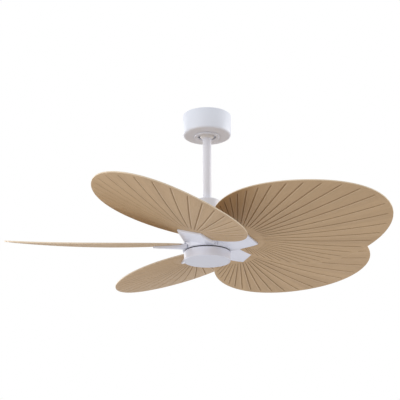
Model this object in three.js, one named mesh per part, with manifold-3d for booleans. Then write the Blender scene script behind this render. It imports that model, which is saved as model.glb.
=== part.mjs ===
// Palm-leaf ceiling fan: a canopy and hanger ball at the ceiling, a downrod, a drum-shaped motor
// with a static housing above and a light drum below, and between them a turning ring that
// carries five blade arms and five cupped, pleated palm-leaf blades.
// Millimetres, +Z up. The origin is the centre of the face that meets the ceiling.

import * as THREE from 'three';
import * as BufferGeometryUtils from 'three/addons/utils/BufferGeometryUtils.js';
import Module from 'manifold-3d';

const wasm = await Module();
wasm.setup();

// ---------- Driving dimensions ----------

const seatGap = 0.3; // between pieces that touch
const overshoot = 1; // how far a cutter runs past the faces it cuts
const overlap = 0.5; // how far shapes of one piece sink into each other
const smallSteps = 12; // facets round the small turned pieces
const roundSteps = 2 * smallSteps; // facets round the large drums
const ballSteps = 18; // facets round the hanger ball and its seat

// ceiling fixing
const bracketLength = 104;
const bracketWidth = 62;
const bracketSheet = 2.5;
const bracketLegWidth = 44;
const slotSpacing = 88.9;
const slotLength = 12;
const slotWidth = 5;
const wirePortRadius = 9;
const wirePortOffset = 19;
const seatRimWidth = 9;
const seatRimRise = 2; // above the strap's floor
const ballSeatPlay = 0.45; // the ball turns in its seat
const mouthSideGap = 2.5; // rod to the seat's open mouth
const bracketCorner = 6;
const seatAboveBallBottom = 19;
const receiverLength = 82;
const receiverWidth = 40;
const receiverHeight = 16;
const receiverCorner = 5;

// canopy
const canopyRadius = 80.8;
const canopyHeight = 73.2;
const canopyCeilingGap = 1;
const canopyWall = 1.6;
const canopyEdgeRadius = 8.5;
const canopyHoleRadius = 33;
const trimRadius = 42.3;
const trimHoleRadius = 30;
const trimDrop = 3.6;
const trimSheet = 1.2;
const canopyScrewOffset = 36.8;
const canopyScrewRadius = 2;
const canopyScrewHeadRadius = 3.4;
const canopyScrewHeadHeight = 1.5;
const canopyScrewEnd = 2; // above the bracket's seat
const trimChamfer = 1.4;
const trimLipRise = 1; // above the canopy's floor

// hanger ball and downrod
const ballRadius = 31;
const ballDrop = 54.5; // ceiling to ball centre
const ballFlatAbove = 22;
const rodRadius = 14.5;
const rodWall = 2.2;
const rodAboveBallCentre = 27.5;
const crossPinRadius = 3.2;
const crossPinLength = 52;

// coupling on top of the motor
const coverRadius = 42;
const coverHeight = 69.6;
const coverWall = 1.5;
const coverEdgeRadius = 4;
const coverRodGap = 0.8;
const yokeWall = 6;
const yokeSleeveHeight = 44;
const yokeFlangeRadius = 34;
const yokeFlangeHeight = 5;
const yokeFillet = 3;
const clevisPinRadius = 3.9;
const clevisPinAboveFlange = 22;
const clevisPinHeadRadius = 6;
const clevisPinHeadHeight = 2.5;
const clevisPinOverhang = 6;
const hairpinWire = 1.1;
const hairpinAbovePin = 9;
const hairpinBelowPin = 5;
const hairpinLoop = 3;
const hairpinBowGap = 0.6;

// motor
const bladeDrop = 451.5; // ceiling to the blades' rim plane on the axis
const drumRadius = 75; // housing, turning ring and light drum share it
const ringAboveBladePlane = 3.7;
const ringHeight = 25.4;
const ringWall = 13;
const upperSeam = 2.6;
const lowerSeam = 3.7;
const housingHeight = 74.2;
const housingWall = 2.2;
const housingShoulder = 16;
const shaftRadius = 8.5;
const shaftBore = 5.5;
const shaftFlangeRadius = 24;
const shaftFlangeHeight = 4;
const bearingRadius = 17.5;
const bearingWidth = 10;
const bearingRaceWidth = 2.6;
const bearingShieldDepth = 0.8;
const bearingCupWall = 3.2;
const bearingCupSpare = 1.5; // cup wall beyond the bearing
const bearingLipThickness = 1.2;
const bearingLipGap = 1;
const endPlate = 3;
const magnetThickness = 4.6;
const magnetHeight = 16;
const airGap = 0.8;
const poleCount = 12;
const poleTipHeight = 3.4;
const poleTipArcShare = 0.8;
const poleTipShoulder = 1;
const toothWidth = 7;
const statorYokeRadius = 30;
const statorHeight = 9;
const coilSide = 2.6;
const coilInset = 2;
const coilRingWidth = 6;
const controllerRadius = 56;
const controllerBoard = 1.8;
const controllerDrop = 20;
const controllerHoleGap = 3;
const controllerPostRadius = 3;
const controllerPostCircle = 46;
const capacitorRadius = 8;
const capacitorHeight = 18;
const capacitorOffset = 42;

// light drum
const lightDrumHeight = 29.7;
const lightDrumWall = 2;
const bearingWellGap = 4;
const wellFloorDrop = 6.2;
const shaftNutRadius = 14;
const shaftNutHeight = 5;
const shaftEndBelowNut = 1.5;
const lensThickness = 2.6;
const lensRimHeight = 3.4;
const lensRimWall = 1.8;
const ledBoardRadius = 62;
const ledBoardThickness = 1.6;
const ledBoardAboveLens = 4.5;
const ledTrayThickness = 1.5;
const ledTrayOverhang = 4;
const ledCount = 12;
const ledSize = 4;
const ledHeight = 1;
const ledCircle = 48;
const trayPostRadius = 3.5;
const trayPostCircle = 54;

// blades
const bladeCount = 5;
const firstBladeAngle = -38.4; // degrees from +X
const bladePitch = 15.8; // degrees, the edge that a blade's angle grows towards hangs lower
const bladeRise = 1.67; // degrees, tips above the hub
const bladeCentre = 357.4; // axis to the middle of the oval
const bladeHalfLength = 290.5;
const bladeHalfWidth = 229.5;
const bladeSideShift = 7.9;
const bladeThickness = 4;
const bladeRootGap = 5; // blade root to the drum's wall
const ovalTaper = 0.0386;
const cupLengthwise = 12.1; // depth of the dish along the blade
const cupCrosswise = 7.1; // and across it
const rimSteps = 56; // facets round the leaf's outline
const pleatCount = 38;
const pleatPitch = 5.7; // degrees between two pleats
const pleatCentreReach = 126;
const pleatStartRadius = 80; // plain pad for the arm inside it
const pleatBorder = 12;
const pleatRings = 3; // rings of facets along the pleats
const rootSteps = 8; // facets round the plain root
const grooveHalfWidth = 2.2;
const grooveDepth = 1.6;

// blade arms
const armReach = 171;
const armRise = 3.23; // degrees
const armTipLeading = -34;
const armTipTrailing = 47;
const armRootLeading = -54.5;
const armRootTrailing = 51.5;
const armTipSeat = 7.1; // blade plane to the arm's upper face at its tip
const armThickness = 6;
const armFlangeThickness = 3.7;
const armFlangeHalfAngle = 25;
const flangeInset = 0.8; // below the ring's upper edge and above its lower one

// ---------- Levels and fits that follow from them ----------

const rad = THREE.MathUtils.degToRad;
const ballCentre = -ballDrop;
const rodTop = ballCentre + rodAboveBallCentre;
const rodBore = rodRadius - rodWall;
const crossBoreRadius = crossPinRadius + seatGap;
const seatRadius = ballRadius + ballSeatPlay;
const seatBottom = ballCentre - ballRadius + seatAboveBallBottom;
const seatTop = seatBottom + bracketSheet + seatRimRise;
const canopyBottom = -canopyHeight;

const bladePlane = -bladeDrop;
const ringTop = bladePlane + ringAboveBladePlane;
const ringBottom = ringTop - ringHeight;
const housingBottom = ringTop + upperSeam;
const housingTop = housingBottom + housingHeight;
const coverTop = housingTop + seatGap + coverHeight;
const yokeBottom = housingTop + seatGap;
const yokeBore = rodRadius + seatGap;
const yokeRadius = yokeBore + yokeWall;
const rodBottom = yokeBottom + yokeFlangeHeight + seatGap;
const clevisPinLevel = yokeBottom + clevisPinAboveFlange;
const clevisBoreRadius = clevisPinRadius + seatGap;
const lightDrumTop = ringBottom - lowerSeam;
const lightDrumBottom = lightDrumTop - lightDrumHeight;

const shaftFit = shaftRadius + seatGap;
const ringInner = drumRadius - ringWall;
const magnetOuter = ringInner - seatGap;
const magnetInner = magnetOuter - magnetThickness;
const motorMiddle = (ringTop + ringBottom) / 2;
const bearingCupRadius = bearingRadius + seatGap + bearingCupWall;
const wellFloor = lightDrumTop - wellFloorDrop;
const wellRadius = bearingCupRadius + bearingWellGap;
const nutTop = wellFloor - lightDrumWall - seatGap;
const nutBottom = nutTop - shaftNutHeight;
const shaftBottom = nutBottom - shaftEndBelowNut;
const lensTop = lightDrumBottom + lensThickness;
const ledBoardBottom = lensTop + ledBoardAboveLens;
const ledTrayBottom = ledBoardBottom + ledBoardThickness + seatGap;

const bladeRoot = drumRadius + bladeRootGap;
const lastPleat = rad(pleatPitch * (pleatCount - 1) / 2);
const flangeInner = (drumRadius + seatGap) / Math.cos(Math.PI / roundSteps); // clears the ring's facets
const armStock = armReach; // the blocks that an arm is cut from and trimmed by are this large

// ---------- Solids ----------

const at = (radius, height) => new THREE.Vector2(radius, height);

function arc(centreRadius, centreHeight, radius, fromDegrees, toDegrees, steps = 4) {
  return Array.from({ length: steps + 1 }, (_, i) => {
    const angle = rad(fromDegrees + (toDegrees - fromDegrees) * i / steps);
    return at(centreRadius + radius * Math.cos(angle), centreHeight + radius * Math.sin(angle));
  });
}

function signedVolume(position, index) {
  const corner = (i) => new THREE.Vector3().fromBufferAttribute(position, index[i]);
  let volume = 0;
  for (let i = 0; i < index.length; i += 3) {
    volume += corner(i).dot(corner(i + 1).cross(corner(i + 2))) / 6;
  }
  return volume;
}

function solidOf(source) {
  const geometry = source.clone();
  geometry.deleteAttribute('normal');
  geometry.deleteAttribute('uv');
  const merged = BufferGeometryUtils.mergeVertices(geometry, 1e-4);
  const index = [];
  for (let i = 0; i < merged.index.count; i += 3) {
    const [a, b, c] = [0, 1, 2].map((k) => merged.index.getX(i + k));
    if (a !== b && b !== c && c !== a) index.push(a, b, c);
  }
  if (signedVolume(merged.attributes.position, index) < 0) index.reverse();
  return new wasm.Manifold(new wasm.Mesh({
    numProp: 3,
    vertProperties: new Float32Array(merged.attributes.position.array),
    triVerts: new Uint32Array(index),
  }));
}

function geometryOf(solid) {
  const mesh = solid.getMesh();
  const flat = new THREE.BufferGeometry();
  flat.setAttribute('position', new THREE.BufferAttribute(mesh.vertProperties, 3));
  flat.setIndex(new THREE.BufferAttribute(mesh.triVerts, 1));
  const geometry = flat.toNonIndexed();
  geometry.computeVertexNormals();
  return geometry;
}

// A turned piece: the profile is a closed loop of radius and height.
function turned(profile, steps = roundSteps) {
  const geometry = new THREE.LatheGeometry([...profile, profile[0]], steps);
  return solidOf(geometry.rotateX(Math.PI / 2));
}

function tube(inner, outer, bottom, top, steps = smallSteps) {
  return turned([at(inner, bottom), at(outer, bottom), at(outer, top), at(inner, top)], steps);
}

function disc(radius, bottom, top, steps = smallSteps) {
  return turned([at(0, bottom), at(radius, bottom), at(radius, top), at(0, top)], steps);
}

function block(length, width, height, x, y, z) {
  return solidOf(new THREE.BoxGeometry(length, width, height).translate(x, y, z));
}

// A round bar along X, centred on the axis at the given height.
function barAlongX(radius, length, height, steps = 12) {
  const geometry = new THREE.CylinderGeometry(radius, radius, length, steps);
  return solidOf(geometry.rotateZ(Math.PI / 2).translate(0, 0, height));
}

function barAlongZ(radius, bottom, top, x, y, steps = 12) {
  const geometry = new THREE.CylinderGeometry(radius, radius, top - bottom, steps);
  return solidOf(geometry.rotateX(Math.PI / 2).translate(x, y, (top + bottom) / 2));
}

function slab(shape, bottom, top, curveSegments = 8) {
  const geometry = new THREE.ExtrudeGeometry(shape, {
    depth: top - bottom, bevelEnabled: false, curveSegments,
  });
  return solidOf(geometry.translate(0, 0, bottom));
}

function roundedOutline(length, width, radius) {
  const x = length / 2;
  const y = width / 2;
  const shape = new THREE.Shape();
  shape.absarc(x - radius, y - radius, radius, 0, Math.PI / 2);
  shape.absarc(radius - x, y - radius, radius, Math.PI / 2, Math.PI);
  shape.absarc(radius - x, radius - y, radius, Math.PI, 1.5 * Math.PI);
  shape.absarc(x - radius, radius - y, radius, 1.5 * Math.PI, 2 * Math.PI);
  return shape;
}

function joined(...solids) {
  return solids.reduce((whole, solid) => whole.add(solid));
}

function cut(solid, ...cutters) {
  return cutters.reduce((rest, cutter) => rest.subtract(cutter), solid);
}

function around(count, make) {
  return Array.from({ length: count }, (_, i) => make(2 * Math.PI * i / count, i));
}

// ---------- Materials ----------

const finish = (color, roughness, metalness = 0) =>
  new THREE.MeshStandardMaterial({ color, roughness, metalness });
const whitePaint = finish(0xf1f0f6, 0.42);
const palmWood = finish(0xb79c78, 0.62);
const zincSteel = finish(0xaeb2b6, 0.38, 0.9);
const bearingSteel = finish(0xc9ccd0, 0.25, 1);
const ironLaminations = finish(0x55585c, 0.5, 0.8);
const copperWire = finish(0xb26a35, 0.4, 0.7);
const darkMagnet = finish(0x3a3b3f, 0.55, 0.2);
const castAluminium = finish(0xb9bbbf, 0.45, 0.9);
const whitePlastic = finish(0xe9e9ea, 0.5);
const circuitBoard = finish(0x2f5b41, 0.55);
const whiteBoard = finish(0xe4e6e2, 0.5);
const opalLens = finish(0xf0eff4, 0.35);

// ---------- Ceiling fixing ----------

// Folded strap: a plate on the ceiling, two legs, and a dished seat open on one side so that
// the ball can be lifted in past the rod.
function hangerBracket() {
  const legLength = -seatBottom;
  const legX = (bracketLength - bracketSheet) / 2;
  const plate = slab(roundedOutline(bracketLength, bracketWidth, bracketCorner), -bracketSheet, 0, 3);
  const legs = [-legX, legX].map((x) =>
    block(bracketSheet, bracketLegWidth, legLength, x, 0, -legLength / 2));
  const floor = block(bracketLength, bracketLegWidth, bracketSheet, 0, 0, seatBottom + bracketSheet / 2);
  const ballReach = (level) => Math.sqrt(seatRadius ** 2 - (ballCentre - level) ** 2);
  const seatRim = seatRadius + seatRimWidth;
  const seat = turned([
    at(ballReach(seatBottom), seatBottom), at(seatRim, seatBottom),
    at(seatRim, seatTop), at(ballReach(seatTop), seatTop),
  ], ballSteps);
  const throat = disc(seatRadius + overlap, seatBottom - overshoot, seatTop + overshoot, ballSteps);
  const mouthWidth = 2 * (rodRadius + mouthSideGap);
  const mouthHeight = 2 * (seatTop - seatBottom + overshoot);
  const mouth = block(mouthWidth, bracketLength, mouthHeight, 0, bracketLength / 2, seatBottom);
  const slots = [-1, 1].map((side) => {
    const outline = roundedOutline(slotWidth, slotLength, 0.99 * slotWidth / 2);
    const slot = slab(outline, -bracketSheet - overshoot, overshoot, 4);
    return slot.translate([side * slotSpacing / 2, 0, 0]);
  });
  const wirePort = barAlongZ(wirePortRadius, -bracketSheet - overshoot, overshoot, 0, wirePortOffset);
  const screwHoles = canopyScrewHoles(seatBottom, seatTop);
  const strap = joined(plate, ...legs, cut(floor, throat), seat);
  return cut(strap, mouth, ...slots, wirePort, ...screwHoles);
}

// Holes for both canopy screws, through whatever lies between two levels.
function canopyScrewHoles(bottom, top) {
  return [-1, 1].map((side) => barAlongZ(canopyScrewRadius + seatGap,
    bottom - overshoot, top + overshoot, side * canopyScrewOffset, 0, 8));
}

function receiverModule() {
  const top = -bracketSheet - seatGap;
  return slab(roundedOutline(receiverLength, receiverWidth, receiverCorner), top - receiverHeight, top, 3);
}

// A deep pan with a rolled lower edge and a round hole in its floor.
function canopy() {
  const inner = canopyRadius - canopyWall;
  const bend = canopyRadius - canopyEdgeRadius;
  const bendLevel = canopyBottom + canopyEdgeRadius;
  const top = -canopyCeilingGap;
  const shell = turned([
    at(canopyHoleRadius, canopyBottom),
    ...arc(bend, bendLevel, canopyEdgeRadius, -90, 0, 3),
    at(canopyRadius, top),
    at(inner, top),
    ...arc(bend, bendLevel, canopyEdgeRadius - canopyWall, 0, -90, 2),
    at(canopyHoleRadius, canopyBottom + canopyWall),
  ]);
  return cut(shell, ...canopyScrewHoles(canopyBottom, canopyBottom + canopyWall));
}

// The pan that covers the screws: its lip rises into the canopy's hole.
function trimRing() {
  const rim = canopyBottom - seatGap;
  const floor = canopyBottom - trimDrop;
  const lip = Math.min(trimHoleRadius + trimSheet, canopyHoleRadius - seatGap);
  const lipTop = canopyBottom + canopyWall + trimLipRise;
  return turned([
    at(trimHoleRadius, floor),
    at(trimRadius - trimChamfer, floor),
    at(trimRadius, floor + trimChamfer),
    at(trimRadius, rim),
    at(trimRadius - trimSheet, rim),
    at(trimRadius - trimSheet, floor + trimSheet),
    at(lip, floor + trimSheet),
    at(lip, lipTop),
    at(trimHoleRadius, lipTop),
  ]);
}

function canopyScrew(side) {
  const head = canopyBottom - seatGap;
  const x = side * canopyScrewOffset;
  return joined(
    barAlongZ(canopyScrewHeadRadius, head - canopyScrewHeadHeight, head, x, 0),
    barAlongZ(canopyScrewRadius, head - canopyScrewHeadHeight / 2, seatTop + canopyScrewEnd, x, 0, 8),
  );
}

// ---------- Hanging parts ----------

function crossBore() {
  return barAlongX(crossBoreRadius, 2 * (ballRadius + overshoot), ballCentre);
}

function hangerBall() {
  const bore = rodRadius + seatGap;
  const lowest = rad(-90) + Math.asin(bore / ballRadius);
  const highest = Math.asin(ballFlatAbove / ballRadius);
  const outside = arc(0, ballCentre, ballRadius,
    THREE.MathUtils.radToDeg(lowest), THREE.MathUtils.radToDeg(highest), 7);
  return cut(turned([...outside, at(bore, ballCentre + ballFlatAbove)], ballSteps), crossBore());
}

function downrod() {
  const clevisBore = barAlongX(clevisBoreRadius, 4 * rodRadius, clevisPinLevel);
  return cut(tube(rodBore, rodRadius, rodBottom, rodTop), crossBore(), clevisBore);
}

function couplingCover() {
  const bottom = housingTop + seatGap;
  const bend = coverTop - coverEdgeRadius;
  const opening = rodRadius + coverRodGap;
  return turned([
    at(coverRadius, bottom),
    ...arc(coverRadius - coverEdgeRadius, bend, coverEdgeRadius, 0, 90, 2),
    at(opening, coverTop),
    at(opening, coverTop - coverWall),
    ...arc(coverRadius - coverEdgeRadius, bend, coverEdgeRadius - coverWall, 90, 0, 1),
    at(coverRadius - coverWall, bottom),
  ]);
}

// Sleeve for the rod on a flange that stands on the housing and holds the shaft's upper end.
function yoke() {
  const top = yokeBottom + yokeSleeveHeight;
  const floor = yokeBottom + yokeFlangeHeight;
  const body = turned([
    at(shaftFit, yokeBottom),
    at(yokeFlangeRadius, yokeBottom),
    at(yokeFlangeRadius, floor),
    at(yokeRadius + yokeFillet, floor),
    at(yokeRadius, floor + yokeFillet),
    at(yokeRadius, top),
    at(yokeBore, top),
    at(yokeBore, floor),
    at(shaftFit, floor),
  ], smallSteps);
  return cut(body, barAlongX(clevisBoreRadius, 4 * yokeRadius, clevisPinLevel));
}

function clevisPin() {
  const end = yokeRadius + clevisPinOverhang;
  const head = barAlongX(clevisPinHeadRadius, clevisPinHeadHeight, clevisPinLevel);
  const headX = -yokeRadius - seatGap - clevisPinHeadHeight / 2;
  const shank = barAlongX(clevisPinRadius, end - headX, clevisPinLevel);
  const pin = joined(head.translate([headX, 0, 0]), shank.translate([(end + headX) / 2, 0, 0]));
  return cut(pin, hairpinBore());
}

const hairpinX = yokeRadius + clevisPinOverhang / 2;

function hairpinBore() {
  const reach = clevisPinRadius + overshoot;
  return barAlongZ(hairpinWire + seatGap, clevisPinLevel - reach, clevisPinLevel + reach, hairpinX, 0, 10);
}

// Spring wire: one straight leg through the pin, one bowed leg round its outside.
function hairpin() {
  const top = clevisPinLevel + clevisPinRadius + hairpinAbovePin;
  const bottom = clevisPinLevel - clevisPinRadius - hairpinBelowPin;
  const bow = clevisPinRadius + hairpinWire + seatGap + hairpinBowGap;
  const route = new THREE.CatmullRomCurve3([
    new THREE.Vector3(hairpinX, 0, bottom),
    new THREE.Vector3(hairpinX, 0, clevisPinLevel),
    new THREE.Vector3(hairpinX, 0, top - hairpinLoop),
    new THREE.Vector3(hairpinX, bow / 2, top),
    new THREE.Vector3(hairpinX, bow, top - hairpinLoop),
    new THREE.Vector3(hairpinX, bow + hairpinBowGap, clevisPinLevel),
    new THREE.Vector3(hairpinX, bow + hairpinLoop, bottom + hairpinLoop),
  ]);
  const section = new THREE.Shape().absarc(0, 0, hairpinWire, 0, 2 * Math.PI);
  return solidOf(new THREE.ExtrudeGeometry(section, {
    extrudePath: route, steps: 18, curveSegments: 3, bevelEnabled: false,
  }));
}

function upperHousing() {
  const bend = drumRadius - housingShoulder;
  const bendLevel = housingTop - housingShoulder;
  return turned([
    at(drumRadius, housingBottom),
    ...arc(bend, bendLevel, housingShoulder, 0, 90, 3),
    at(shaftFit, housingTop),
    at(shaftFit, housingTop - housingWall),
    ...arc(bend, bendLevel, housingShoulder - housingWall, 90, 0, 2),
    at(drumRadius - housingWall, housingBottom),
  ]);
}

const shaftFlangeTop = housingTop - housingWall - seatGap;

// Hollow, so that the wires can pass through the turning motor to the light.
function motorShaft() {
  return turned([
    at(shaftBore, shaftBottom),
    at(shaftRadius, shaftBottom),
    at(shaftRadius, shaftFlangeTop - shaftFlangeHeight),
    at(shaftFlangeRadius, shaftFlangeTop - shaftFlangeHeight),
    at(shaftFlangeRadius, shaftFlangeTop),
    at(shaftRadius, shaftFlangeTop),
    at(shaftRadius, yokeBottom + yokeFlangeHeight - seatGap),
    at(shaftBore, yokeBottom + yokeFlangeHeight - seatGap),
  ], smallSteps);
}

// Ring-shaped board on posts from the housing's roof, with its two large capacitors.
function motorController() {
  const boardTop = housingTop - controllerDrop;
  const postTop = housingTop - housingWall - seatGap;
  const hole = shaftFlangeRadius + controllerHoleGap;
  const board = tube(hole, controllerRadius, boardTop - controllerBoard, boardTop, 24);
  const posts = around(3, (angle) => barAlongZ(controllerPostRadius, boardTop - overlap, postTop,
    controllerPostCircle * Math.cos(angle), controllerPostCircle * Math.sin(angle), 6));
  const underside = boardTop - controllerBoard;
  const capacitors = [-1, 1].map((side) => barAlongZ(capacitorRadius,
    underside - capacitorHeight, underside + overlap, side * capacitorOffset, 0));
  return joined(board, ...posts, ...capacitors);
}

// ---------- Motor ----------

const statorRadius = magnetInner - airGap;

// Laminated stack: one outline with a tooth and a wide pole tip for each coil.
function statorCore() {
  const tipHalf = poleTipArcShare * Math.PI / poleCount;
  const toothHalf = toothWidth / 2;
  const tipInner = statorRadius - poleTipHeight;
  const outline = around(poleCount, (angle) => [
    [statorYokeRadius, -Math.asin(toothHalf / statorYokeRadius)],
    [tipInner, -Math.asin(toothHalf / tipInner)],
    [tipInner + poleTipShoulder, -tipHalf],
    [statorRadius, -tipHalf], [statorRadius, 0], [statorRadius, tipHalf],
    [tipInner + poleTipShoulder, tipHalf],
    [tipInner, Math.asin(toothHalf / tipInner)],
    [statorYokeRadius, Math.asin(toothHalf / statorYokeRadius)],
  ].map(([radius, turn]) => at(radius * Math.cos(angle + turn), radius * Math.sin(angle + turn))));
  const shape = new THREE.Shape(outline.flat());
  shape.holes.push(new THREE.Path().absarc(0, 0, shaftFit, 0, 2 * Math.PI, true));
  return slab(shape, motorMiddle - statorHeight / 2, motorMiddle + statorHeight / 2, 8);
}

// A coil round each tooth, all joined by the connection ring above the inner yoke.
function statorWinding() {
  const inner = statorYokeRadius + coilInset;
  const outer = statorRadius - poleTipHeight - coilInset;
  const length = outer - inner;
  const width = toothWidth + 2 * (coilSide + seatGap);
  const height = statorHeight + 2 * (coilSide + seatGap);
  const coils = around(poleCount, (angle) => {
    const middle = (inner + outer) / 2;
    const body = new THREE.BoxGeometry(length, width, height).translate(middle, 0, motorMiddle);
    const window = new THREE.BoxGeometry(
      length + 2 * overshoot, toothWidth + 2 * seatGap, statorHeight + 2 * seatGap,
    ).translate(middle, 0, motorMiddle);
    return cut(solidOf(body.rotateZ(angle)), solidOf(window.rotateZ(angle)));
  });
  const ringBase = motorMiddle + statorHeight / 2 + seatGap;
  const ringOuter = inner + overlap;
  const ring = tube(ringOuter - coilRingWidth, ringOuter, ringBase, ringBase + coilSide, poleCount);
  return joined(ring, ...coils);
}

function rotorRing() {
  return turned([
    at(ringInner, ringBottom),
    at(drumRadius, ringBottom),
    at(drumRadius, ringTop),
    at(ringInner, ringTop),
  ]);
}

function magnetRing() {
  return tube(magnetInner, magnetOuter,
    motorMiddle - magnetHeight / 2, motorMiddle + magnetHeight / 2, roundSteps);
}

// End plate inside the ring's bore with the cup that holds a bearing; side is 1 above, -1 below.
function endPlateWithCup(side) {
  const face = side > 0 ? ringTop : ringBottom;
  const inside = face - side * endPlate;
  const lip = inside - side * bearingLipThickness;
  const cupEnd = inside + side * (bearingWidth + seatGap + bearingCupSpare);
  return turned([
    at(shaftFit + bearingLipGap, lip),
    at(bearingCupRadius, lip),
    at(bearingCupRadius, inside),
    at(ringInner - seatGap, inside),
    at(ringInner - seatGap, face),
    at(bearingCupRadius, face),
    at(bearingCupRadius, cupEnd),
    at(bearingRadius + seatGap, cupEnd),
    at(bearingRadius + seatGap, inside),
    at(shaftFit + bearingLipGap, inside),
  ], smallSteps);
}

// Shielded ball bearing: on its open side the shield lies below the faces of both races.
function bearing(side) {
  const start = (side > 0 ? ringTop : ringBottom) - side * endPlate + side * seatGap;
  const end = start + side * bearingWidth;
  const innerRace = shaftFit + bearingRaceWidth;
  const outerRace = bearingRadius - bearingRaceWidth;
  const shield = end - side * bearingShieldDepth;
  return turned([
    at(shaftFit, start), at(bearingRadius, start), at(bearingRadius, end), at(outerRace, end),
    at(outerRace, shield), at(innerRace, shield), at(innerRace, end), at(shaftFit, end),
  ], smallSteps);
}

// ---------- Light drum ----------

// An inverted cup whose roof dips into a well round the lower bearing; the well's floor is
// clamped on the shaft.
function lightDrum() {
  const wall = lightDrumWall;
  return turned([
    at(drumRadius, lightDrumBottom),
    at(drumRadius, lightDrumTop),
    at(wellRadius, lightDrumTop),
    at(wellRadius, wellFloor),
    at(shaftFit, wellFloor),
    at(shaftFit, wellFloor - wall),
    at(wellRadius + wall, wellFloor - wall),
    at(wellRadius + wall, lightDrumTop - wall),
    at(drumRadius - wall, lightDrumTop - wall),
    at(drumRadius - wall, lightDrumBottom),
  ]);
}

function shaftNut() {
  const bore = disc(shaftFit, nutBottom - overshoot, nutTop + overshoot);
  return cut(disc(shaftNutRadius, nutBottom, nutTop, 6), bore);
}

// Heat-spreading plate on three posts from the drum's roof.
function ledTray() {
  const plate = disc(ledBoardRadius + ledTrayOverhang, ledTrayBottom, ledTrayBottom + ledTrayThickness, 24);
  const postTop = lightDrumTop - lightDrumWall - seatGap;
  const posts = around(3, (angle) => barAlongZ(trayPostRadius, ledTrayBottom + overlap, postTop,
    trayPostCircle * Math.cos(angle), trayPostCircle * Math.sin(angle), 6));
  return joined(plate, ...posts);
}

function ledBoard() {
  const board = disc(ledBoardRadius, ledBoardBottom, ledBoardBottom + ledBoardThickness, 24);
  const leds = around(ledCount, (angle) => solidOf(new THREE.BoxGeometry(ledSize, ledSize, 2 * ledHeight)
    .translate(ledCircle, 0, ledBoardBottom).rotateZ(angle)));
  return joined(board, ...leds);
}

// Shallow pan that closes the drum, flush with its lower edge.
function lens() {
  const outer = drumRadius - lightDrumWall - seatGap;
  const rimTop = lensTop + lensRimHeight;
  return turned([
    at(0, lightDrumBottom),
    at(outer, lightDrumBottom),
    at(outer, rimTop),
    at(outer - lensRimWall, rimTop),
    at(outer - lensRimWall, lensTop),
    at(0, lensTop),
  ]);
}

// ---------- Blades ----------

// The leaf's outline is an oval with a narrower root, cut square where it meets the drum.
const ovalReach = (angle) => 1 + ovalTaper * Math.cos(3 * angle);

function insideOutline(u, v) {
  const along = (u - bladeCentre) / bladeHalfLength;
  const across = (v - bladeSideShift) / bladeHalfWidth;
  return u >= bladeRoot && Math.hypot(along, across) <= ovalReach(Math.atan2(across, along));
}

// Lower face of the leaf: a shallow dish, lowest in the middle.
function dish(u, v) {
  const along = (u - bladeCentre) / bladeHalfLength;
  const across = (v - bladeSideShift) / bladeHalfWidth;
  return cupLengthwise * (along ** 2 - 1) + cupCrosswise * across ** 2;
}

// From the pleats' centre to the rim.
function rimDistance(angle) {
  let near = 0;
  let far = 2 * bladeHalfLength;
  for (let i = 0; i < 40; i += 1) {
    const middle = (near + far) / 2;
    const u = pleatCentreReach + middle * Math.cos(angle);
    const v = middle * Math.sin(angle);
    if (insideOutline(u, v)) near = middle;
    else far = middle;
  }
  return near;
}

// From the pleats' centre to a ring: share 0 is the edge of the plain pad, 1 the pleats' ends.
function ringDistance(angle, share) {
  const end = rimDistance(angle) - pleatBorder;
  const start = Math.min(pleatStartRadius, end / 2);
  return start + share * (end - start);
}

// A ring's points have a direction from the pleats' centre and a place in the leaf's own frame:
// u along the blade, v across it, z up.
function ringPoint(angle, share, raise) {
  const distance = ringDistance(angle, share);
  const u = pleatCentreReach + distance * Math.cos(angle);
  const v = distance * Math.sin(angle);
  return { angle, point: [u, v, dish(u, v) + raise] };
}

const inOrder = (ring) => ring.sort((a, b) => a.angle - b.angle);

function plainRing(steps, share, lift) {
  return around(steps, (angle) => ringPoint(angle - Math.PI, share, lift));
}

function rimRing(lift) {
  return inOrder(around(rimSteps, (turn) => {
    const reach = ovalReach(turn);
    const u = Math.max(bladeRoot, bladeCentre + bladeHalfLength * reach * Math.cos(turn));
    const v = bladeSideShift + bladeHalfWidth * reach * Math.sin(turn);
    return { angle: Math.atan2(v, u - pleatCentreReach), point: [u, v, dish(u, v) + lift] };
  }));
}

// Three points at each groove, its bed and both banks; none round the root.
function groovedRing(share) {
  const ring = Array.from({ length: pleatCount }, (_, i) => {
    const angle = rad(pleatPitch * (i - (pleatCount - 1) / 2));
    if (share === 0) return [ringPoint(angle, 0, 0)];
    const bank = Math.min(grooveHalfWidth / ringDistance(angle, share), 0.3 * rad(pleatPitch));
    return [
      ringPoint(angle - bank, share, 0),
      ringPoint(angle, share, grooveDepth),
      ringPoint(angle + bank, share, 0),
    ];
  });
  const root = Array.from({ length: rootSteps }, (_, i) => {
    const turn = lastPleat + (i + 1) * 2 * (Math.PI - lastPleat) / (rootSteps + 1);
    return ringPoint(turn > Math.PI ? turn - 2 * Math.PI : turn, share, 0);
  });
  return inOrder([...ring.flat(), ...root]);
}

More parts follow.
